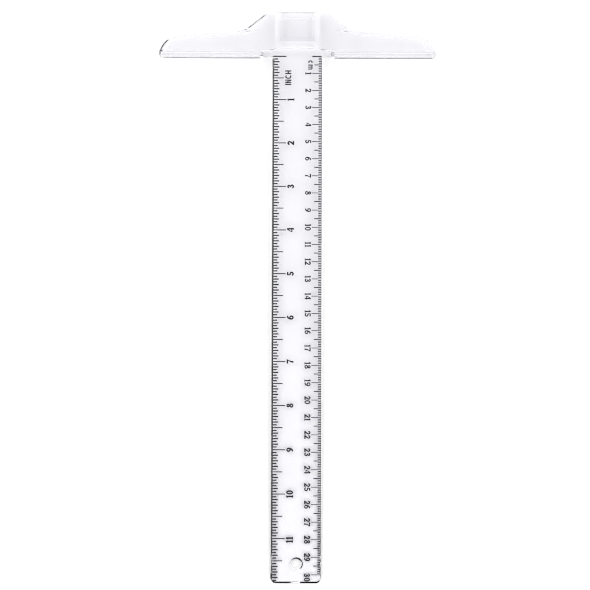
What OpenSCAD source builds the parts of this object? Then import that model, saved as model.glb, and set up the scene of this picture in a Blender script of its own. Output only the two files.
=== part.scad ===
// Junior T-square, clear plastic, ruled in inches on one edge and centimetres on the other.
// Origin: the zero mark of both scales, on the blade's centre line, at the blade's underside.
// +Y runs from the blade into the head, +X towards the centimetre edge, +Z out of the printed face.

/* [Scales] */
// Length of the inch scale in inches, which is also the blade's length below the head
inch_count = 12; // [6:1:18]
// Width of the inch, half-inch and zero lines
inch_line = 0.56; // [0.3:0.02:0.8]
// Width of the eighth and sixteenth lines
fine_inch_line = 0.72; // [0.2:0.02:0.8]
// Width of the centimetre lines
cm_line = 0.42; // [0.2:0.02:0.6]
// Width of the millimetre lines
mm_line = 0.56; // [0.15:0.01:0.6]
// Thickness of the printed ink
ink_t = 0.04; // [0.02:0.01:0.1]
// Height of the inch numerals
inch_digit_h = 4.0; // [2.5:0.1:5]
// Height of the centimetre numerals
cm_digit_h = 3.55; // [2.5:0.05:3.8]

/* [Blade] */
// Width of the ruled blade
blade_w = 29; // [27:0.5:34]
// Thickness of the blade
blade_t = 1.8; // [1.2:0.1:2.2]
// Radius of the blade's two outer corners
tip_r = 3.0; // [1:0.25:6]
// Distance of the hang hole's centre from the blade's end
hole_inset = 10.7; // [8:0.1:20]
// Diameter of the hang hole
hole_d = 6.3; // [4:0.1:8]
// Half width of the shoulder that meets the head
shoulder_half = 19.8; // [17:0.1:21]
// Height of the shoulder at its middle
shoulder_h = 4.8; // [4:0.1:6]
// Height of the shoulder at its ends
shoulder_end_h = 3.3; // [2:0.1:3.8]
// Width of the tongue that goes into the head
tongue_w = 27.5; // [20:0.5:28]
// How far the tongue reaches into the head, from the zero line
tongue_y = 17.6; // [10:0.1:20]
// Thickness of the cement between the tongue and the head
cement_t = 0.1; // [0.05:0.01:0.2]

/* [Head] */
// Height of the head from its guide edge to its crown
crown_y = 25.5; // [24:0.1:30]
// Half width of the crown's straight part
crown_half = 14.7; // [14:0.1:18]
// Radius of the crown's corners
crown_r = 9; // [6:0.25:11]
// Slope of the flank between crown and wing, in degrees
flank_a = 38; // [32:1:44]
// Radius of the hollow between flank and wing
hollow_r = 15; // [10:0.5:18]
// Height of the wing where it leaves the hollow
wing_y = 14.8; // [13:0.1:16]
// Slope of the wing's back edge, in degrees
wing_a = 4.6; // [2:0.1:6]
// Centre of the wing tip's arc, across the head
tip_cx = 68; // [60:0.5:90]
// Small radius where the tip meets the guide edge
tip_corner_r = 1.6; // [0.8:0.1:2.5]
// Height of the head's top face above the blade's underside
head_top = 2.8; // [2.6:0.1:3.6]
// Thickness of the wings' plate
plate_t = 2.0; // [1.4:0.1:2.4]
// Width of the wall around the wings' underside
rim_w = 1.5; // [1:0.1:2.5]

/* [Guide fence] */
// Thickness of the fence along the guide edge
fence_w = 2.8; // [2:0.1:4]
// How far the fence reaches below the blade's underside
fence_drop = 3.2; // [2:0.1:6]
// Distance from the centre to the fence's inner end, at its top
fence_in = 20.0; // [19.9:0.1:24]
// Run of the sloped end of the fence
fence_slope = 1.9; // [0.5:0.1:4]

/* [Hub] */
// Half width of the hub at its base
hub_base = 13.1; // [12:0.1:14]
// Half width of the hub's top face
hub_top = 10.0; // [9.6:0.1:11.5]
// Start of the hub's front slope
hub_y0 = 5.3; // [5:0.1:7]
// End of the hub's front slope
hub_y1 = 8.4; // [7.5:0.1:8.8]
// Height of the hub above the head's top face
hub_h = 2.0; // [1.2:0.1:3]
// Half width of the window
win_half = 8.85; // [6:0.05:9.2]
// Lower edge of the window
win_y0 = 9.3; // [9.2:0.1:12]
// Upper edge of the window
win_y1 = 21.6; // [18:0.1:23]
// Depth of the window
win_depth = 1.0; // [0.4:0.1:1.4]

/* [Hidden] */
blade_len = inch_count * 25.4;
cm_count = floor((blade_len - 2) / 10);
half_w = blade_w / 2;
edge_gap = 0.2;                       // the printed lines stop this far from the blade's edge
recess_h = head_top - plate_t;        // depth of the wings' underside recess
fit = 0.05;                           // clearance around the shoulder and the tongue

// ---- arcs and the head's outline -------------------------------------------------------------

// n + 1 points on an arc of radii rx, ry about (cx, cy), from angle a0 to a1
function arc(cx, cy, rx, ry, a0, a1, n) =
    [for (i = [0:n]) let (a = a0 + (a1 - a0) * i / n) [cx + rx * cos(a), cy + ry * sin(a)]];

// Where the lines p.n = c and p.m = d cross
function cross_at(n, c, m, d) = let (k = n[0] * m[1] - n[1] * m[0]) [(c * m[1] - d * n[1]) / k, (n[0] * d - m[0] * c) / k];

wing_n = [sin(wing_a), cos(wing_a)];                       // normal of the wing's back edge
flank_n = [sin(flank_a), cos(flank_a)];                    // normal of the flank
wing_c = wing_n * [36.75, wing_y];                         // the wing's back edge passes here
crown_c = [crown_half, crown_y - crown_r];                 // centre of the crown's corner
flank_c = flank_n * crown_c + crown_r;
hollow_c = cross_at(flank_n, flank_c + hollow_r, wing_n, wing_c + hollow_r);
tip_c = [tip_cx, -0.75];

// Right half of the outline, drawn inwards by d, with the tip's arc about tc and its foot at height y0
function half_plan(d, tc, y0, foot) = let (
        tr = wing_c - wing_n * tc - d,
        a0 = foot > 0 ? asin((foot - tc[1]) / (tr - foot)) : asin((y0 - tc[1]) / tr),
        fx = tc[0] + (tr - foot) * cos(a0)
    ) concat(
        foot > 0 ? arc(fx, y0 + foot, foot, foot, -90, a0, 6) : [],
        arc(tc[0], tc[1], tr, tr, a0 + 0.5, 90 - wing_a, 20),
        arc(hollow_c[0], hollow_c[1], hollow_r + d, hollow_r + d, 270 - wing_a, 270 - flank_a, 10),
        arc(crown_c[0], crown_c[1], crown_r - d, crown_r - d, 90 - flank_a, 90, 10));

function mirrored(p) = [for (i = [len(p) - 1:-1:0]) [-p[i][0], p[i][1]]];

module head_plan() {
    right = half_plan(0, tip_c, 0, tip_corner_r);
    polygon(concat(right, mirrored(right)));
}

// Underside recess of the right wing: the outline drawn inwards, with a thicker wall at the tip
module wing_recess_plan() {
    intersection() {
        polygon(concat(half_plan(rim_w, [tip_cx - 1.5, 1.2], fence_w, 0), [[0, crown_y - rim_w], [0, fence_w]]));
        translate([shoulder_half + 1.4, fence_w]) square([tip_cx + 20, crown_y]);
    }
}

// The blade's shoulder: straight foot at y0, straight ends, and a shallow arched top
module shoulder_plan(grow, y0) {
    s = shoulder_half + grow;
    rise = shoulder_h - shoulder_end_h;
    r = (pow(shoulder_half, 2) + pow(rise, 2)) / (2 * rise) + grow;
    a = asin(s / r);
    polygon(concat([[-s, y0], [s, y0]], arc(0, shoulder_h + grow - r, r, r, 90 - a, 90 + a, 24)));
}

// ---- the two mouldings and the cement --------------------------------------------------------

module fence() {
    intersection() {
        translate([0, 0, -fence_drop]) linear_extrude(fence_drop + recess_h + 0.6) head_plan();
        for (s = [-1, 1]) translate([0, fence_w, 0]) rotate([90, 0, 0]) linear_extrude(fence_w + 1)
            polygon([[s * fence_in, recess_h + 0.6], [s * fence_in, 0], [s * (fence_in + fence_slope), -fence_drop],
                     [s * (tip_cx + 30), -fence_drop], [s * (tip_cx + 30), recess_h + 0.6]]);
    }
}

module hub() {
    z1 = head_top + hub_h;
    intersection() {
        translate([0, crown_y, 0]) rotate([90, 0, 0]) linear_extrude(crown_y - hub_y0)
            polygon([[-hub_base, head_top - 0.6], [hub_base, head_top - 0.6], [hub_base, head_top], [hub_top, z1],
                     [-hub_top, z1], [-hub_base, head_top]]);
        translate([-hub_base - 1, 0, 0]) rotate([90, 0, 90]) linear_extrude(2 * hub_base + 2)
            polygon([[hub_y0, head_top - 0.6], [crown_y, head_top - 0.6], [crown_y, z1], [hub_y1, z1], [hub_y0, head_top]]);
    }
}

module head() {
    color([0.93, 0.93, 0.96, 0.6]) difference() {
        union() {
            linear_extrude(head_top) head_plan();
            fence();
            hub();
        }
        // underside recess of each wing
        for (s = [0, 1]) mirror([s, 0, 0]) translate([0, 0, -1]) linear_extrude(1 + recess_h) wing_recess_plan();
        // notch for the blade's shoulder, open to the top, the front and the underside
        translate([0, 0, -1]) linear_extrude(head_top + 2) shoulder_plan(fit, -1);
        // pocket for the tongue, open to the underside
        translate([-tongue_w / 2 - fit, 2, -1]) cube([tongue_w + 2 * fit, tongue_y - 2 + fit, 1 + blade_t + cement_t]);
        // window
        translate([0, 0, head_top + hub_h - win_depth]) linear_extrude(win_depth + 1)
            translate([-win_half, win_y0]) square([2 * win_half, win_y1 - win_y0]);
    }
}

module blade() {
    color([0.9, 0.9, 0.95, 0.6]) difference() {
        union() {
            linear_extrude(blade_t) polygon(concat(
                [[half_w, 0.5]], [for (p = arc(half_w - tip_r, tip_r - blade_len, tip_r, tip_r, 0, -90, 9)) p],
                [for (p = arc(tip_r - half_w, tip_r - blade_len, tip_r, tip_r, -90, -180, 9)) p], [[-half_w, 0.5]]));
            linear_extrude(blade_t) shoulder_plan(0, 0);
            translate([-tongue_w / 2, 2, 0]) cube([tongue_w, tongue_y - 2, blade_t]);
        }
        translate([0, hole_inset - blade_len, -1]) cylinder(d = hole_d, h = blade_t + 2, $fn = 96);
    }
}

module cement_film() {
    color([0.95, 0.94, 0.9, 0.5]) translate([-tongue_w / 2 + 0.6, shoulder_h + 0.8, blade_t])
        cube([tongue_w - 1.2, tongue_y - shoulder_h - 1.4, cement_t]);
}

// ---- numerals and unit words, one unit high --------------------------------------------------

// A band of width w along the points p
module stroke(p, w) {
    n = [for (i = [0:len(p) - 1]) let (a = p[max(i - 1, 0)], b = p[min(i + 1, len(p) - 1)], t = (b - a) / norm(b - a)) [-t[1], t[0]]];
    polygon(concat([for (i = [0:len(p) - 1]) p[i] - n[i] * w / 2], [for (i = [len(p) - 1:-1:0]) p[i] + n[i] * w / 2]));
}

module bowl(cx, cy, rx, ry, w) {
    difference() {
        polygon(arc(cx, cy, rx, ry, 0, 345, 23));
        polygon(arc(cx, cy, rx - w, ry - 0.85 * w, 0, 345, 23));
    }
}

// Width of each digit, and of the gap between two
function digit_w(d) = d == 1 ? 0.42 : 0.62;
digit_gap = 0.06;

module digit(d, w) {
    h = w / 2;
    if (d == 0) bowl(0.31, 0.5, 0.31, 0.5, w);
    if (d == 1) polygon([[0.03, 0], [0.41, 0], [0.41, 0.10], [0.22 + h, 0.13], [0.22 + h, 1], [0.24 - h, 1], [0.02, 0.86], [0.02, 0.73], [0.22 - h, 0.8], [0.22 - h, 0.13], [0.03, 0.10]]);
    if (d == 2) {
        stroke(concat(arc(0.30, 0.70, 0.30 - h, 0.30 - h, 165, -30, 14), [[0.36, 0.40], [0.17, 0.20], [0.10, 0.06]]), w);
        polygon([[0, 0], [0.60, 0], [0.62, 0.24], [0.53, 0.24], [0.49, w], [0.12, w + 0.08], [0, 0.12]]);
        polygon(arc(0.13, 0.74, 0.115, 0.1, 0, 324, 9));
    }
    if (d == 3) {
        stroke(arc(0.29, 0.745, 0.26 - h, 0.255 - h, 155, -92, 14), w);
        stroke(arc(0.29, 0.295, 0.31 - h, 0.295 - h, 92, -155, 16), w);
        polygon([[0.17, 0.5 - h * 0.8], [0.34, 0.46], [0.34, 0.60], [0.17, 0.5 + h * 0.8]]);
        polygon(arc(0.115, 0.79, 0.1, 0.09, 0, 324, 9));
        polygon(arc(0.11, 0.2, 0.105, 0.09, 0, 324, 9));
    }
    if (d == 4) difference() {
        polygon([[0, 0.35], [0, 0.22], [0.36, 0.22], [0.36, 0], [0.36 + w, 0], [0.36 + w, 0.22], [0.62, 0.22], [0.62, 0.37], [0.36 + w, 0.37], [0.36 + w, 1], [0.34, 1]]);
        polygon([[0.14, 0.37], [0.36, 0.37], [0.36, 0.75]]);
    }
    if (d == 5) {
        polygon([[0.06, 0.5], [0.12, 0.5], [0.20, 0.62], [0.22, 1 - w], [0.56, 1 - w], [0.56, 1], [0.08, 1]]);
        stroke(arc(0.28, 0.32, 0.33 - h, 0.32 - h, 128, -155, 18), w);
        polygon(arc(0.11, 0.2, 0.105, 0.09, 0, 324, 9));
    }
    if (d == 6 || d == 9) translate(d == 9 ? [0.62, 1] : [0, 0]) rotate(d == 9 ? 180 : 0) {
        bowl(0.31, 0.32, 0.31, 0.32, w);
        stroke(arc(0.48, 0.34, 0.48 - h, 0.66 - h, 176, 88, 12), w);
        polygon(arc(0.48, 0.86, 0.1, 0.09, 0, 324, 9));
    }
    if (d == 7) polygon([[0, 0.74], [0.09, 0.74], [0.10, 1 - w], [0.44, 1 - w], [0.22, 0.46], [0.37 - 1.15 * w, 0], [0.37, 0], [0.40, 0.45], [0.62, 0.86], [0.62, 1], [0, 1]]);
    if (d == 8) {
        bowl(0.31, 0.755, 0.265, 0.245, w);
        bowl(0.31, 0.285, 0.31, 0.285, w);
    }
}

// A number of one or two digits, centred on the origin, h high, in a heavy or a lighter stroke
module number(v, h, w) {
    tens = floor(v / 10);
    ones = v % 10;
    full = digit_w(ones) + (tens > 0 ? digit_w(tens) + digit_gap : 0);
    scale(h) translate([-full / 2, 0]) {
        if (tens > 0) digit(tens, w);
        translate([tens > 0 ? digit_w(tens) + digit_gap : 0, 0]) digit(ones, w);
    }
}

module letter_i(w) square([w, 1]);
module letter_n(w) polygon([[0, 0], [w, 0], [w, 0.62], [0.6 - w, 0], [0.6, 0], [0.6, 1], [0.6 - w, 1], [0.6 - w, 0.38], [w, 1], [0, 1]]);
module letter_c(w) stroke(arc(0.34, 0.5, 0.34 - w / 2, 0.5 - w / 2, 42, 318, 20), w);
module letter_h(w) {
    square([w, 1]);
    translate([0.6 - w, 0]) square([w, 1]);
    translate([w / 2, 0.5 - w / 2]) square([0.6 - w, w]);
}
module small_c(w) stroke(arc(0.4, 0.5, 0.4 - w / 2, 0.5 - w / 2, 48, 312, 18), w);
module small_m(w) {
    square([w, 1]);
    for (x = [0, 0.45]) {
        stroke(arc(x + 0.225 + w / 2, 0.70, 0.225, 0.30 - w / 2, 172, 0, 12), w);
        translate([x + 0.45, 0]) square([w, 0.72]);
    }
}

// ---- the printed scales ----------------------------------------------------------------------

// Half width of the blade at a distance t below the zero line, with its rounded corners
function edge_at(t) = t <= blade_len - tip_r ? half_w : half_w - tip_r + sqrt(max(0, pow(tip_r, 2) - pow(t - blade_len + tip_r, 2)));

module ink() { color([0.06, 0.06, 0.07]) translate([0, 0, blade_t]) linear_extrude(ink_t) children(); }

module inch_graduations() {
    ink() for (i = [0:16 * inch_count - 1]) {
        t = i * 25.4 / 16;
        w = i == 0 ? 1.25 * inch_line : i % 8 == 0 ? inch_line : fine_inch_line;
        reach = i % 16 == 0 ? half_w - 6.3 : i % 8 == 0 ? half_w - 7.8 : i % 2 == 0 ? half_w - 10.35 : half_w - 11.2;
        x0 = -edge_at(t + w / 2) + edge_gap;
        translate([x0, -t - w / 2]) square([reach - half_w - x0, w]);
    }
}

module cm_graduations() {
    ink() for (i = [0:10 * cm_count]) {
        w = i == 0 ? 1.25 * inch_line : i % 10 == 0 ? cm_line : mm_line;
        from = i % 10 == 0 ? half_w - 5.75 : i % 5 == 0 ? half_w - 4.4 : half_w - 2.0;
        translate([from, -i - w / 2]) square([edge_at(i + w / 2) - edge_gap - from, w]);
    }
}

// Inch numerals read towards the head, with their tops towards the inch edge
module inch_numerals() {
    ink() for (v = [1:inch_count - 1])
        translate([12.9 - half_w, -25.4 * v - (v > 10 ? 0.7 : 0)]) rotate(90) number(v, inch_digit_h, 0.225);
}

// Centimetre numerals read away from the head, with their tops towards the centimetre edge
module cm_numerals() {
    ink() for (v = [1:cm_count])
        translate([half_w - 9.75, -10 * v - (v == cm_count ? 1.5 : 0)]) rotate(-90) number(v, cm_digit_h, 0.2);
}

module inch_unit_label() {
    w = 0.19;
    ink() translate([-3.4, -16.9]) rotate(90) scale(3.6) {
        letter_i(w);
        translate([0.30, 0]) letter_n(w);
        translate([1.03, 0]) letter_c(w);
        translate([1.80, 0]) letter_h(w);
    }
}

module cm_unit_label() {
    w = 0.25;
    ink() translate([6.4, -2.3]) rotate(-90) scale(2.6) {
        small_c(w);
        translate([0.95, 0]) small_m(w);
    }
}

head();
blade();
cement_film();
inch_graduations();
inch_numerals();
inch_unit_label();
cm_graduations();
cm_numerals();
cm_unit_label();
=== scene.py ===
import math
import random

import bmesh
import bpy
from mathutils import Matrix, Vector


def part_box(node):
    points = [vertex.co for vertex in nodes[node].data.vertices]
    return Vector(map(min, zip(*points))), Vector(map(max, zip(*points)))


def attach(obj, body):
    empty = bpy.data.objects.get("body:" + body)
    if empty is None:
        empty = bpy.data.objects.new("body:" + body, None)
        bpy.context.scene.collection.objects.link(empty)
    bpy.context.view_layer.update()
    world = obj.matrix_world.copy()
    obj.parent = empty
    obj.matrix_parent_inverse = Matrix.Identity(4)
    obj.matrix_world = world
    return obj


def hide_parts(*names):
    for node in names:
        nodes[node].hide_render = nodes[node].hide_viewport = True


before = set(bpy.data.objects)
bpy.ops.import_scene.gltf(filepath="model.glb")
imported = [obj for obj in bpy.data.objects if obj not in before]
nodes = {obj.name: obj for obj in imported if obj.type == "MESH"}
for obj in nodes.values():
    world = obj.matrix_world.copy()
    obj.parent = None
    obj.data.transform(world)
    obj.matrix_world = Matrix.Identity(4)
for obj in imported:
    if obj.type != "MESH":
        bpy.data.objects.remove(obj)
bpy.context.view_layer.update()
scene = bpy.context.scene
MM = 0.001

# ---------------------------------------------------------------------------------------------
# dimensions in millimetres, the same as the CAD model's
# ---------------------------------------------------------------------------------------------
BLADE_LEN = -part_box("blade")[0].y / MM
HALF_W = 14.5
BLADE_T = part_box("blade")[1].z / MM
TIP_R = 3.0
HOLE_Y, HOLE_R = 10.7 - BLADE_LEN, 3.15
SHOULDER = 19.8
SHOULDER_H, SHOULDER_END = 4.8, 3.3
TONGUE, TONGUE_Y = 13.75, 17.6
FIT = 0.05
CROWN_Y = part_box("head")[1].y / MM
CROWN_HALF, CROWN_R, FLANK_A = 14.7, 9.0, 38.0
HOLLOW_R, WING_Y, WING_A = 15.0, 14.8, 4.6
TIP_C, FOOT = (68.0, -0.75), 1.6
HEAD_TOP, RECESS_H, RIM = 2.8, 0.8, 1.5
FENCE_W, FENCE_IN, FENCE_SLOPE = 2.8, 20.0, 1.9
FENCE_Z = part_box("head")[0].z / MM
HUB_BASE, HUB_TOP, HUB_Y0, HUB_Y1 = 13.1, 10.0, 5.3, 8.4
HUB_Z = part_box("head")[1].z / MM
WIN_HALF, WIN_Y0, WIN_Y1, WIN_DEPTH = 8.85, 9.3, 21.6, 1.0


# ---------------------------------------------------------------------------------------------
# outlines
# ---------------------------------------------------------------------------------------------
def arc(cx, cy, r, a0, a1, n):
    return [(cx + r * math.cos(math.radians(a0 + (a1 - a0) * i / n)),
             cy + r * math.sin(math.radians(a0 + (a1 - a0) * i / n))) for i in range(n + 1)]


def cross_at(n, c, m, d):
    k = n[0] * m[1] - n[1] * m[0]
    return ((c * m[1] - d * n[1]) / k, (n[0] * d - m[0] * c) / k)


def unit(a):
    return (math.sin(math.radians(a)), math.cos(math.radians(a)))


WING_N, FLANK_N = unit(WING_A), unit(FLANK_A)
WING_C = WING_N[0] * 36.75 + WING_N[1] * WING_Y
CROWN_C = (CROWN_HALF, CROWN_Y - CROWN_R)
FLANK_C = FLANK_N[0] * CROWN_C[0] + FLANK_N[1] * CROWN_C[1] + CROWN_R
HOLLOW_C = cross_at(FLANK_N, FLANK_C + HOLLOW_R, WING_N, WING_C + HOLLOW_R)


def half_plan(d, tc, y0, foot, fine=4):
    """Right half of the head's outline from the tip's foot to the crown, drawn inwards by d."""
    tr = WING_C - WING_N[0] * tc[0] - WING_N[1] * tc[1] - d
    a0 = math.degrees(math.asin((foot - tc[1]) / (tr - foot) if foot else (y0 - tc[1]) / tr))
    p = []
    if foot:
        fx = tc[0] + (tr - foot) * math.cos(math.radians(a0))
        p += arc(fx, y0 + foot, foot, -90, a0, 3 * fine)
    p += arc(tc[0], tc[1], tr, a0 + 0.5, 90 - WING_A, 12 * fine)
    p += arc(HOLLOW_C[0], HOLLOW_C[1], HOLLOW_R + d, 270 - WING_A, 270 - FLANK_A, 4 * fine)
    p += arc(CROWN_C[0], CROWN_C[1], CROWN_R - d, 90 - FLANK_A, 90, 5 * fine)
    return p


def mirrored(p):
    return [(-x, y) for x, y in reversed(p)]


def shoulder_arc(grow, x0, x1, n):
    rise = SHOULDER_H - SHOULDER_END
    r = (SHOULDER ** 2 + rise ** 2) / (2 * rise) + grow
    cy = SHOULDER_H + grow - r
    return [(x0 + (x1 - x0) * i / n, cy + math.sqrt(r * r - (x0 + (x1 - x0) * i / n) ** 2)) for i in range(n + 1)]


def corner(points, radii, n=6):
    """The polygon with each corner rounded by its radius (0 leaves it)."""
    out, m = [], len(points)
    for i, (p, r) in enumerate(zip(points, radii)):
        if r <= 0:
            out.append(p)
            continue
        a, b = Vector(points[i - 1]) - Vector(p), Vector(points[(i + 1) % m]) - Vector(p)
        a.normalize(), b.normalize()
        half = math.acos(max(-1, min(1, a.dot(b)))) / 2
        if half > math.radians(88):
            out.append(p)
            continue
        d = r / math.tan(half)
        c = Vector(p) + (a + b).normalized() * (r / math.sin(half))
        s, e = Vector(p) + a * d, Vector(p) + b * d
        a0 = math.atan2(s.y - c.y, s.x - c.x)
        a1 = math.atan2(e.y - c.y, e.x - c.x)
        turn = (a1 - a0 + math.pi) % (2 * math.pi) - math.pi
        out += [(c.x + r * math.cos(a0 + turn * k / n), c.y + r * math.sin(a0 + turn * k / n)) for k in range(n + 1)]
    return out


def inset(points, amounts):
    """A counter-clockwise polygon drawn inwards at each vertex by its amount."""
    out, m = [], len(points)
    for i in range(m):
        p = Vector(points[i])
        a, b = (p - Vector(points[i - 1])).normalized(), (Vector(points[(i + 1) % m]) - p).normalized()
        na, nb = Vector((-a.y, a.x)), Vector((-b.y, b.x))
        k = (na + nb)
        k = k / max(0.2, k.dot(na)) if k.length > 1e-6 else na
        q = p + k * amounts[i]
        out.append((q.x, q.y))
    return out


# ---------------------------------------------------------------------------------------------
# solids
# ---------------------------------------------------------------------------------------------
def mesh_object(name, bm):
    bmesh.ops.recalc_face_normals(bm, faces=bm.faces)
    me = bpy.data.meshes.new(name)
    bm.to_mesh(me)
    bm.free()
    o = bpy.data.objects.new(name, me)
    scene.collection.objects.link(o)
    return o


def loft(name, rings):
    """A closed solid through rings of (x, y) points at one z or at a list of z, all with the same count."""
    bm = bmesh.new()
    rows = []
    for pts, z in rings:
        zs = z if isinstance(z, (list, tuple)) else [z] * len(pts)
        rows.append([bm.verts.new((x * MM, y * MM, h * MM)) for (x, y), h in zip(pts, zs)])
    n = len(rows[0])
    for a, b in zip(rows, rows[1:]):
        for i in range(n):
            bm.faces.new((a[i], a[(i + 1) % n], b[(i + 1) % n], b[i]))
    bm.faces.new(list(reversed(rows[0])))
    bm.faces.new(rows[-1])
    return mesh_object(name, bm)


def round_rings(pts, z0, z1, low, high, low_kind="chamfer", steps=7):
    """Rings from z0 up to z1: the lower edge chamfered or rounded by low, the upper one rounded by high (numbers or lists per point)."""
    n = len(pts)
    low = low if isinstance(low, list) else [low] * n
    high = high if isinstance(high, list) else [high] * n
    rings = []
    if low_kind == "lip":
        # each point has (inset, height where the slope starts, height where it ends)
        w = [v[0] for v in low]
        rings += [(inset(pts, w), z0), (inset(pts, w), [z0 + v[1] for v in low]), (pts, [z0 + v[2] for v in low])]
    elif max(abs(v) for v in low) > 0:
        if low_kind == "chamfer":
            rings += [(inset(pts, low), z0), (pts, [z0 + v for v in low])]
        else:
            for k in range(steps + 1):
                a = math.pi / 2 * (1 - k / steps)
                rings.append((inset(pts, [v * (1 - math.cos(a)) for v in low]),
                              [z0 + v * (1 - math.sin(a)) for v in low]))
    else:
        rings.append((pts, z0))
    if max(high) > 0:
        for k in range(steps + 1):
            a = math.pi / 2 * k / steps
            rings.append((inset(pts, [v * (1 - math.cos(a)) for v in high]),
                          [z1 - v * (1 - math.sin(a)) for v in high]))
    else:
        rings.append((pts, z1))
    return rings


def combine(base, other, how):
    m = base.modifiers.new("cut", "BOOLEAN")
    m.operation = how
    m.object = other
    m.solver = "EXACT"
    bpy.context.view_layer.update()
    dg = bpy.context.evaluated_depsgraph_get()
    me = bpy.data.meshes.new_from_object(base.evaluated_get(dg), depsgraph=dg)
    base.modifiers.remove(m)
    old = base.data
    base.data = me
    bpy.data.meshes.remove(old)
    data = other.data
    bpy.data.objects.remove(other)
    bpy.data.meshes.remove(data)


def tidy(o, cuts=(), sharp=26, refill=None):
    """Merges doubles, and keeps flat faces flat while rounded edges shade smoothly."""
    bm = bmesh.new()
    bm.from_mesh(o.data)
    bmesh.ops.remove_doubles(bm, verts=bm.verts, dist=2e-7)
    bmesh.ops.dissolve_degenerate(bm, edges=bm.edges, dist=2e-7)
    bmesh.ops.dissolve_limit(bm, angle_limit=math.radians(0.05), verts=bm.verts, edges=bm.edges)
    if refill is not None:
        # one clean set of triangles for the large flat face at this height
        bm.normal_update()
        flat = [f for f in bm.faces if f.normal.z > 0.99 and all(abs(v.co.z - refill * MM) < 4e-7 for v in f.verts)]
        bmesh.ops.delete(bm, geom=flat, context="FACES")
        rim = [e for e in bm.edges if len(e.link_faces) == 1 and all(abs(v.co.z - refill * MM) < 4e-7 for v in e.verts)]
        bmesh.ops.triangle_fill(bm, edges=rim, use_beauty=True, normal=(0, 0, 1))
        bmesh.ops.recalc_face_normals(bm, faces=bm.faces)
    pinched = [e for e in bm.edges if len(e.link_faces) > 2]
    if pinched:
        bmesh.ops.collapse(bm, edges=pinched, uvs=False)
        bmesh.ops.dissolve_degenerate(bm, edges=bm.edges, dist=2e-7)
    for x in cuts:
        bmesh.ops.bisect_plane(bm, geom=bm.verts[:] + bm.edges[:] + bm.faces[:], plane_co=(x * MM, 0, 0), plane_no=(1, 0, 0))
    bm.normal_update()
    for f in bm.faces:
        f.smooth = f.calc_area() < 2.5e-6 or len(f.verts) < 5 and abs(f.normal.z) < 0.99
    for e in bm.edges:
        if len(e.link_faces) != 2:
            e.smooth = False
            continue
        a, b = e.link_faces
        big = max(a.calc_area(), b.calc_area()) > 4e-6
        angle = math.degrees(a.normal.angle(b.normal, 0.0))
        e.smooth = not (angle > sharp or (big and angle > 0.4))
    bmesh.ops.triangulate(bm, faces=[f for f in bm.faces if len(f.verts) > 4])
    bm.to_mesh(o.data)
    bm.free()


EDGE_W = 1.1                     # the bevel under the blade's left edge


def outward(pts):
    """Unit normals of a counter-clockwise outline at its points."""
    n, res = len(pts), []
    for i in range(n):
        (ax, ay), (bx, by) = pts[i - 1], pts[(i + 1) % n]
        dx, dy = bx - ax, by - ay
        q = math.hypot(dx, dy) or 1.0
        res.append((dy / q, -dx / q))
    return res




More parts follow.
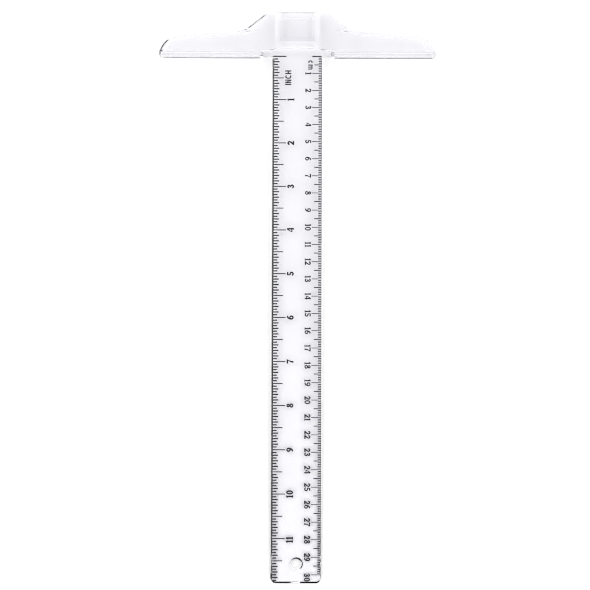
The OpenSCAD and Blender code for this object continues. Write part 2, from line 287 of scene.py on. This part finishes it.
def build_head():
    right = half_plan(0, TIP_C, 0, FOOT)
    plan = right + mirrored(right)
    # the outer wall leans in under the top edge, so that the head lifts off the board with a finger
    top = [0.3 if y < 0.4 else min(0.55, 0.3 + 0.2 * (y - 0.4)) for x, y in plan]
    low = []
    for (x, y), (nx, ny) in zip(plan, outward(plan)):
        k = max(0.0, min(1.0, (y - 0.1) / 0.8))
        w = 0.3 + max(0.0, -nx) * (1.3 if nx < -0.5 and y < 8 else 0.6) if y < CROWN_Y - 0.6 else 0.06
        h = w * math.tan(math.radians(51.5 + 4.0 * max(0.0, ny)))
        low.append((0.05 + (w - 0.05) * k, 0.1 + (2.2 - h - 0.1) * k, 0.2 + 2.0 * k))
    head = loft("head_body", round_rings(plan, 0, HEAD_TOP, low, top, "lip"))

    # guide fence on both wings
    tip = [p for p in right if p[1] < FENCE_W]
    tip.append((tip[-1][0] + (FENCE_W - tip[-1][1]) * (right[len(tip)][0] - tip[-1][0]) / (right[len(tip)][1] - tip[-1][1]), FENCE_W))
    for s in (1, -1):
        pts = [(FENCE_IN, 0)] + tip + [(FENCE_IN, FENCE_W)]
        if s < 0:
            pts = [(-x, y) for x, y in reversed(pts)]
        pts = inset(pts, [0.02 if y < FENCE_W - 0.01 else 0 for x, y in pts])
        fence = loft("fence", round_rings(pts, FENCE_Z, 0.93, 0.15, 0, "round", 4))
        rings = []
        for x, z in ((FENCE_SLOPE + 1.5, FENCE_Z - 1.05), (FENCE_SLOPE, FENCE_Z), (0.25, FENCE_Z + 1.2), (0.05, FENCE_Z + 1.7), (-0.3, 1.6)):
            rings.append(([(FENCE_IN - 2, -1), (FENCE_IN + x, -1), (FENCE_IN + x, 5), (FENCE_IN - 2, 5)], z))
        if s < 0:
            rings = [([(-x, y) for x, y in reversed(p)], z) for p, z in rings]
        combine(fence, loft("wedge", rings), "DIFFERENCE")
        combine(head, fence, "UNION")

    # hub with sloped sides and front
    bm = bmesh.new()
    z0, z1, back = HEAD_TOP - 0.6, HUB_Z, CROWN_Y
    k = 0.6 / (z1 - HEAD_TOP)
    w0, y0 = HUB_BASE + k * (HUB_BASE - HUB_TOP), HUB_Y0 - k * (HUB_Y1 - HUB_Y0)
    v = [bm.verts.new((x * MM, y * MM, z * MM)) for x, y, z in (
        (-w0, y0, z0), (w0, y0, z0), (w0, back - 0.05, z0), (-w0, back - 0.05, z0),
        (-HUB_TOP, HUB_Y1, z1), (HUB_TOP, HUB_Y1, z1), (HUB_TOP, back - 0.05, z1), (-HUB_TOP, back - 0.05, z1))]
    for q in ((3, 2, 1, 0), (4, 5, 6, 7), (0, 1, 5, 4), (1, 2, 6, 5), (2, 3, 7, 6), (3, 0, 4, 7)):
        bm.faces.new([v[i] for i in q])
    bm.normal_update()
    edges = [e for e in bm.edges if max(x.co.z for x in e.verts) > (z0 + 0.01) * MM]
    bmesh.ops.bevel(bm, geom=edges, offset=0.42 * MM, segments=5, profile=0.5, affect="EDGES")
    combine(head, mesh_object("hub", bm), "UNION")

    # underside recess of each wing, with soft upper edges
    for s in (1, -1):
        tc = (TIP_C[0] - 1.5, 1.2)
        keep = len([p for p in half_plan(RIM, tc, FENCE_W, 0) if p[0] > SHOULDER + 9.8])
        last, x_in = half_plan(RIM, tc, FENCE_W, 0)[keep - 1], SHOULDER + 1.4
        inner = [(x_in, last[1] + 1.2), (x_in, FENCE_W)]
        ramp = [(x_in + 8, last[1] + 0.2), (x_in + 8, FENCE_W)]
        rings = [(half_plan(RIM, tc, FENCE_W, 0)[:keep] + inner, z) for z in (-1, 0)]
        for k in range(5):
            a = math.pi / 2 * k / 4
            z = RECESS_H - 0.35 * (1 - math.sin(a))
            f = z / RECESS_H
            here = [(p[0] + (q[0] - p[0]) * f, p[1] + (q[1] - p[1]) * f) for p, q in zip(inner, ramp)]
            rings.append((half_plan(RIM + 0.35 * (1 - math.cos(a)), tc, FENCE_W, 0)[:keep] + here, z))
        if s < 0:
            rings = [([(-x, y) for x, y in reversed(p)], z) for p, z in rings]
        combine(head, loft("recess", rings), "DIFFERENCE")

    # notch for the blade's shoulder, pocket for its tongue, and the window
    sh = [(-SHOULDER - FIT, -1), (SHOULDER + FIT, -1)] + shoulder_arc(FIT, SHOULDER + FIT, -SHOULDER - FIT, 40)
    combine(head, loft("notch", [(sh, -1), (sh, HEAD_TOP + 1)]), "DIFFERENCE")
    w, y1 = TONGUE + FIT, TONGUE_Y + FIT
    pocket = corner([(-w, 2), (w, 2), (w, y1), (-w, y1)], [0, 0, 0.5, 0.5])
    combine(head, loft("pocket", [(pocket, -1), (pocket, BLADE_T + 0.1)]), "DIFFERENCE")
    win = corner([(-WIN_HALF, WIN_Y0), (WIN_HALF, WIN_Y0), (WIN_HALF, WIN_Y1), (-WIN_HALF, WIN_Y1)], [0.7] * 4)
    rings = [(inset(win, [0.25] * len(win)), HUB_Z - WIN_DEPTH), (inset(win, [0.06] * len(win)), HUB_Z - WIN_DEPTH + 0.08), (win, HUB_Z - WIN_DEPTH + 0.3), (win, HUB_Z - 0.24),
             (inset(win, [-0.08] * len(win)), HUB_Z - 0.08), (inset(win, [-0.24] * len(win)), HUB_Z), (inset(win, [-0.8] * len(win)), HUB_Z + 0.6)]
    combine(head, loft("window", rings), "DIFFERENCE")
    tidy(head, [x + 0.37 for x in range(-76, 80, 8)], refill=HEAD_TOP)
    return head




def build_blade():
    sa = shoulder_arc(0, -TONGUE, -SHOULDER, 12)
    left = [(-TONGUE, TONGUE_Y)] + sa + [(-SHOULDER, 0.0), (-HALF_W, 0.0), (-HALF_W, -0.9), (-HALF_W, -1.8)]
    lr = [0.45] + [0] * (len(sa) - 1) + [0.3, 0.25, 0.3, 0, 0]
    tipl = [(-HALF_W, -BLADE_LEN)]
    pts = left + tipl + [(-x, y) for x, y in reversed(left + tipl)]
    radii = lr + [TIP_R] + list(reversed(lr + [TIP_R]))
    pts = corner(pts, radii, 10)
    # long edges and the free end carry the wide lower chamfer, the joint end a small one
    low = []
    for x, y in pts:
        if y > -1.2:
            low.append((0.04, 0.02, 0.08))
        else:
            end = max(0.0, min(1.0, (TIP_R - BLADE_LEN - y) / TIP_R))      # 0 on the long edges, 1 at the free end
            width = EDGE_W if x < 0 else 0.30
            width += (0.62 - width) * end
            low.append((width, 0.02, 0.02 + width * math.tan(math.radians(46.0 + 7.5 * end))))
    top = [0.12 if y < 0.6 else 0.06 for x, y in pts]
    blade = loft("blade_body", round_rings(pts, 0, BLADE_T, low, top, "lip", 4))
    n = 96
    wide = [0.62 + 0.42 * math.cos(2 * math.pi * i / n + 0.15) for i in range(n)]
    steep = [w * math.tan(math.radians(46.0 + 7.5 * max(0.0, math.sin(2 * math.pi * i / n)) - 9.0 * max(0.0, -math.sin(2 * math.pi * i / n) - 0.85) / 0.15)) for i, w in enumerate(wide)]
    flare = [((HOLE_R + 1.5 * w) * math.cos(2 * math.pi * i / n), HOLE_Y + (HOLE_R + 1.5 * w) * math.sin(2 * math.pi * i / n)) for i, w in enumerate(wide)]
    rings = [(flare, [-0.5 * v for v in steep])] + [(arc(0, HOLE_Y, r, 0, 360 - 360 / n, n - 1), z) for r, z in (
        (HOLE_R, steep), (HOLE_R, BLADE_T - 0.15),
        (HOLE_R + 0.045, BLADE_T - 0.045), (HOLE_R + 0.15, BLADE_T), (HOLE_R + 0.6, BLADE_T + 0.45))]
    combine(blade, loft("bore", rings), "DIFFERENCE")
    tidy(blade)
    bm = bmesh.new()
    bm.from_mesh(blade.data)
    bmesh.ops.bisect_plane(bm, geom=bm.verts[:] + bm.edges[:] + bm.faces[:], plane_co=(0, (SHOULDER_H + 0.1) * MM, 0), plane_no=(0, 1, 0))
    bmesh.ops.triangulate(bm, faces=[f for f in bm.faces if len(f.verts) > 4])
    bm.to_mesh(blade.data)
    bm.free()
    return blade


def build_cement():
    """The cement: a thin sheet with a wandering outline, as it squeezes out between two faces."""
    random.seed(7)
    x1, y0, y1 = TONGUE - 0.6, SHOULDER_H + 0.8, TONGUE_Y - 0.6
    base = corner([(-x1, y0), (x1, y0), (x1, y1), (-x1, y1)], [1.2] * 4, 10)
    pts = []
    for i, p in enumerate(base):
        q = base[(i + 1) % len(base)]
        m = max(1, int(math.dist(p, q) / 0.4))
        pts += [(p[0] + (q[0] - p[0]) * k / m, p[1] + (q[1] - p[1]) * k / m) for k in range(m)]
    ph = [random.uniform(0, 6.28) for _ in range(6)]
    d = []
    for i in range(len(pts)):
        s = i / len(pts) * 2 * math.pi
        d.append(0.18 + 0.09 * (math.sin(9 * s + ph[0]) + math.sin(17 * s + ph[1]) + 0.7 * math.sin(31 * s + ph[2])))
    edge = inset(pts, d)
    return loft("cement", [(inset(edge, [0.04] * len(edge)), BLADE_T + 0.006), (edge, BLADE_T + 0.05), (inset(edge, [0.04] * len(edge)), BLADE_T + 0.094)])


# ---------------------------------------------------------------------------------------------
# materials
# ---------------------------------------------------------------------------------------------
def new_material(name):
    m = bpy.data.materials.new(name)
    m.use_nodes = True
    m.node_tree.nodes.clear()
    out = m.node_tree.nodes.new("ShaderNodeOutputMaterial")
    b = m.node_tree.nodes.new("ShaderNodeBsdfPrincipled")
    m.node_tree.links.new(b.outputs["BSDF"], out.inputs["Surface"])
    return m, b


def noise(nt, coords, scale, detail=3.0, rough=0.5):
    n = nt.nodes.new("ShaderNodeTexNoise")
    n.inputs["Scale"].default_value = scale
    n.inputs["Detail"].default_value = detail
    n.inputs["Roughness"].default_value = rough
    nt.links.new(coords, n.inputs["Vector"])
    return n.outputs["Fac"]


def ramp(nt, fac, stops):
    r = nt.nodes.new("ShaderNodeValToRGB")
    while len(r.color_ramp.elements) < len(stops):
        r.color_ramp.elements.new(0.5)
    for e, (pos, col) in zip(r.color_ramp.elements, stops):
        e.position = pos
        e.color = (col, col, col, 1) if isinstance(col, (int, float)) else (*col, 1)
    nt.links.new(fac, r.inputs["Fac"])
    return r.outputs["Color"]


def stretched(nt, scale, turn=0.0):
    c = nt.nodes.new("ShaderNodeTexCoord")
    m = nt.nodes.new("ShaderNodeMapping")
    m.inputs["Scale"].default_value = scale
    m.inputs["Rotation"].default_value = (0, 0, turn)
    nt.links.new(c.outputs["Object"], m.inputs["Vector"])
    return m.outputs["Vector"]


def math_node(nt, op, a, b):
    n = nt.nodes.new("ShaderNodeMath")
    n.operation = op
    for i, v in enumerate((a, b)):
        if isinstance(v, (int, float)):
            n.inputs[i].default_value = v
        else:
            nt.links.new(v, n.inputs[i])
    return n.outputs[0]


def clear_plastic(name, tint_a, tint_b, rough, bump, blotch=60.0, scratches=True):
    m, b = new_material(name)
    nt = m.node_tree
    b.inputs["IOR"].default_value = 1.49
    b.inputs["Transmission Weight"].default_value = 1.0
    plain = stretched(nt, (1, 1, 1))
    col = ramp(nt, noise(nt, plain, blotch, 4.0, 0.6), [(0.3, tint_a), (0.7, tint_b)])
    nt.links.new(col, b.inputs["Base Color"])
    if scratches:
        # fine hairlines along two directions, as a ruler picks up in a drawer
        a1 = ramp(nt, noise(nt, stretched(nt, (900, 14, 14), 0.35), 1.0, 2.0, 0.5), [(0.66, 0.0), (0.74, 1.0)])
        a2 = ramp(nt, noise(nt, stretched(nt, (1100, 11, 11), -0.9), 1.0, 2.0, 0.5), [(0.67, 0.0), (0.75, 1.0)])
        marks = math_node(nt, "MAXIMUM", a1, a2)
        r = math_node(nt, "MULTIPLY", marks, rough[1] - rough[0])
        r = math_node(nt, "ADD", r, rough[0])
        nt.links.new(r, b.inputs["Roughness"])
    else:
        r = ramp(nt, noise(nt, plain, 300.0, 3.0, 0.6), [(0.35, rough[0]), (0.7, rough[1])])
        nt.links.new(r, b.inputs["Roughness"])
    bp = nt.nodes.new("ShaderNodeBump")
    bp.inputs["Strength"].default_value = bump[0]
    bp.inputs["Distance"].default_value = bump[1]
    nt.links.new(noise(nt, plain, bump[2], 2.0, 0.4), bp.inputs["Height"])
    nt.links.new(bp.outputs["Normal"], b.inputs["Normal"])
    return m


def ink_material():
    m, b = new_material("ink_black")
    nt = m.node_tree
    plain = stretched(nt, (1, 1, 1))
    col = ramp(nt, noise(nt, plain, 900.0, 3.0, 0.6), [(0.3, (0.006, 0.006, 0.008)), (0.75, (0.022, 0.022, 0.026))])
    nt.links.new(col, b.inputs["Base Color"])
    r = ramp(nt, noise(nt, plain, 1500.0, 2.0, 0.5), [(0.3, 0.42), (0.7, 0.62)])
    nt.links.new(r, b.inputs["Roughness"])
    b.inputs["Specular IOR Level"].default_value = 0.35
    bp = nt.nodes.new("ShaderNodeBump")
    bp.inputs["Strength"].default_value = 0.15
    bp.inputs["Distance"].default_value = 0.00002
    nt.links.new(noise(nt, plain, 2500.0, 2.0, 0.5), bp.inputs["Height"])
    nt.links.new(bp.outputs["Normal"], b.inputs["Normal"])
    return m


def floor_material():
    m, b = new_material("pale_floor")
    nt = m.node_tree
    col = ramp(nt, noise(nt, stretched(nt, (1, 1, 1)), 18.0, 3.0, 0.6), [(0.3, (0.885, 0.885, 0.885)), (0.7, (0.895, 0.895, 0.895))])
    nt.links.new(col, b.inputs["Base Color"])
    b.inputs["Roughness"].default_value = 0.9
    b.inputs["Specular IOR Level"].default_value = 0.0
    return m


# ---------------------------------------------------------------------------------------------
# the object
# ---------------------------------------------------------------------------------------------
clear = clear_plastic("clear_styrene", (0.932, 0.929, 0.951), (0.944, 0.941, 0.962), (0.015, 0.06), (0.12, 0.00002, 90.0))
clear_head = clear_plastic("clear_styrene_head", (0.900, 0.896, 0.920), (0.913, 0.909, 0.932), (0.015, 0.06), (0.12, 0.00002, 90.0))
glue = clear_plastic("dried_cement", (0.975, 0.973, 0.980), (0.997, 0.996, 0.998), (0.02, 0.07), (0.25, 0.00002, 300.0), 380.0, False)
ink = ink_material()

glue.node_tree.nodes["Principled BSDF"].inputs["IOR"].default_value = 1.12
window = clear_plastic("clear_styrene_window", (0.888, 0.885, 0.906), (0.903, 0.900, 0.921), (0.02, 0.07), (0.2, 0.00002, 150.0))
bonded = clear_plastic("bonded_face", (0.995, 0.994, 0.997), (1.0, 1.0, 1.0), (0.0, 0.02), (0.05, 0.00001, 300.0), 380.0, False)
bonded.node_tree.nodes["Principled BSDF"].inputs["IOR"].default_value = 1.0
head = build_head()
blade = build_blade()
cement = build_cement()
for o, mat, node, slot in ((head, clear_head, "head", "clear_head"), (blade, clear, "blade", "clear_blade"), (cement, glue, "cement_film", "cement")):
    o.data.materials.clear()
    o.data.materials.append(mat)
    if o is not cement:
        # where the cement has welded the two mouldings there is no surface left to reflect light
        o.data.materials.append(bonded)
        for f in o.data.polygons:
            x, y, z = abs(f.center.x) / MM, f.center.y / MM, f.center.z / MM
            inside = x < TONGUE + 0.08 and y < TONGUE_Y + 0.08 and 0.005 < z < BLADE_T + 0.12
            if inside and y > (SHOULDER_H + 0.1 if o is blade else 3.0):
                f.material_index = 1
    if o is head:
        o.data.materials.append(window)
        for f in o.data.polygons:
            if f.normal.z > 0.99 and abs(f.center.z / MM - HUB_Z + WIN_DEPTH) < 0.02:
                f.material_index = 2
    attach(o, "root")
    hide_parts(node)
for name, o in nodes.items():
    if name not in ("head", "blade", "cement_film"):
        o.data.materials.clear()
        o.data.materials.append(ink)

# ---------------------------------------------------------------------------------------------
# floor, light and camera
# ---------------------------------------------------------------------------------------------
rest = math.atan2(-FENCE_Z, BLADE_LEN)  # it lies on the fence's lower edge and the blade's end
bm = bmesh.new()
size = 3.0
z_at = lambda y: (FENCE_Z * MM) - y * math.tan(rest) - 0.00002
quad = [bm.verts.new((x, y, z_at(y))) for x, y in ((-size, -size), (size, -size), (size, size), (-size, size))]
bm.faces.new(quad)
floor = mesh_object("floor", bm)
floor.data.materials.append(floor_material())

world = bpy.data.worlds.new("studio")
scene.world = world
world.use_nodes = True
nt = world.node_tree
nt.nodes.clear()
out = nt.nodes.new("ShaderNodeOutputWorld")
bg = nt.nodes.new("ShaderNodeBackground")
pale = nt.nodes.new("ShaderNodeBackground")
mix = nt.nodes.new("ShaderNodeMixShader")
path = nt.nodes.new("ShaderNodeLightPath")
coord = nt.nodes.new("ShaderNodeTexCoord")
sep = nt.nodes.new("ShaderNodeSeparateXYZ")
nt.links.new(coord.outputs["Generated"], sep.inputs["Vector"])


def smooth(value, lo, hi, a, b):
    n = nt.nodes.new("ShaderNodeMapRange")
    n.interpolation_type = "SMOOTHSTEP"
    for i, v in enumerate((lo, hi, a, b)):
        n.inputs[1 + i].default_value = v
    nt.links.new(value, n.inputs[0])
    return n.outputs[0]


# side: -1 where the studio is dark (right and top of the picture), +1 where it is bright
side = math_node(nt, "ADD", math_node(nt, "MULTIPLY", sep.outputs["X"], -0.75), math_node(nt, "MULTIPLY", sep.outputs["Y"], -0.6))
low_light = smooth(side, -0.1, 0.7, 0.0, 1.9)          # near the horizon
mid_light = smooth(side, -0.8, 0.8, 1.76, 1.92)             # half way up
lift = smooth(sep.outputs["Z"], 0.12, 0.32, 0.0, 1.0)
zen = smooth(sep.outputs["Z"], 0.84, 0.93, 0.0, 1.0)
body = math_node(nt, "ADD", math_node(nt, "MULTIPLY", low_light, math_node(nt, "SUBTRACT", 1.0, lift)), math_node(nt, "MULTIPLY", mid_light, lift))
level = math_node(nt, "ADD", math_node(nt, "MULTIPLY", body, math_node(nt, "SUBTRACT", 1.0, zen)), math_node(nt, "MULTIPLY", zen, 0.05))
nt.links.new(level, bg.inputs["Strength"])
bg.inputs["Color"].default_value = (1, 1, 1, 1)
pale.inputs["Color"].default_value = (1, 1, 1, 1)
pale.inputs["Strength"].default_value = 1.0
nt.links.new(path.outputs["Is Camera Ray"], mix.inputs["Fac"])
nt.links.new(bg.outputs["Background"], mix.inputs[1])
nt.links.new(pale.outputs["Background"], mix.inputs[2])
nt.links.new(mix.outputs["Shader"], out.inputs["Surface"])
world.cycles.sampling_method = "MANUAL"
world.cycles.sample_map_resolution = 1024

cam = bpy.data.objects.new("camera", bpy.data.cameras.new("camera"))
scene.collection.objects.link(cam)
cam.location = (-0.744 * MM, -158.418 * MM, 581.8 * MM)
cam.rotation_euler = (0.03284, 0.00009, 0.00332)
cam.data.sensor_width = 36.0
cam.data.lens = 1001.97 * 36.0 / 590.0
cam.data.clip_start, cam.data.clip_end = 0.01, 20.0
scene.camera = cam

scene.view_settings.view_transform = "Standard"
scene.view_settings.look = "None"
scene.view_settings.exposure = 0.0
scene.cycles.max_bounces = 64
scene.cycles.transmission_bounces = 64
scene.cycles.glossy_bounces = 7
scene.cycles.diffuse_bounces = 5
scene.cycles.caustics_reflective = True
scene.cycles.caustics_refractive = True
scene.cycles.blur_glossy = 0.0
scene.cycles.sample_clamp_indirect = 6.0
scene.cycles.use_denoising = True
scene.cycles.filter_width = 1.1
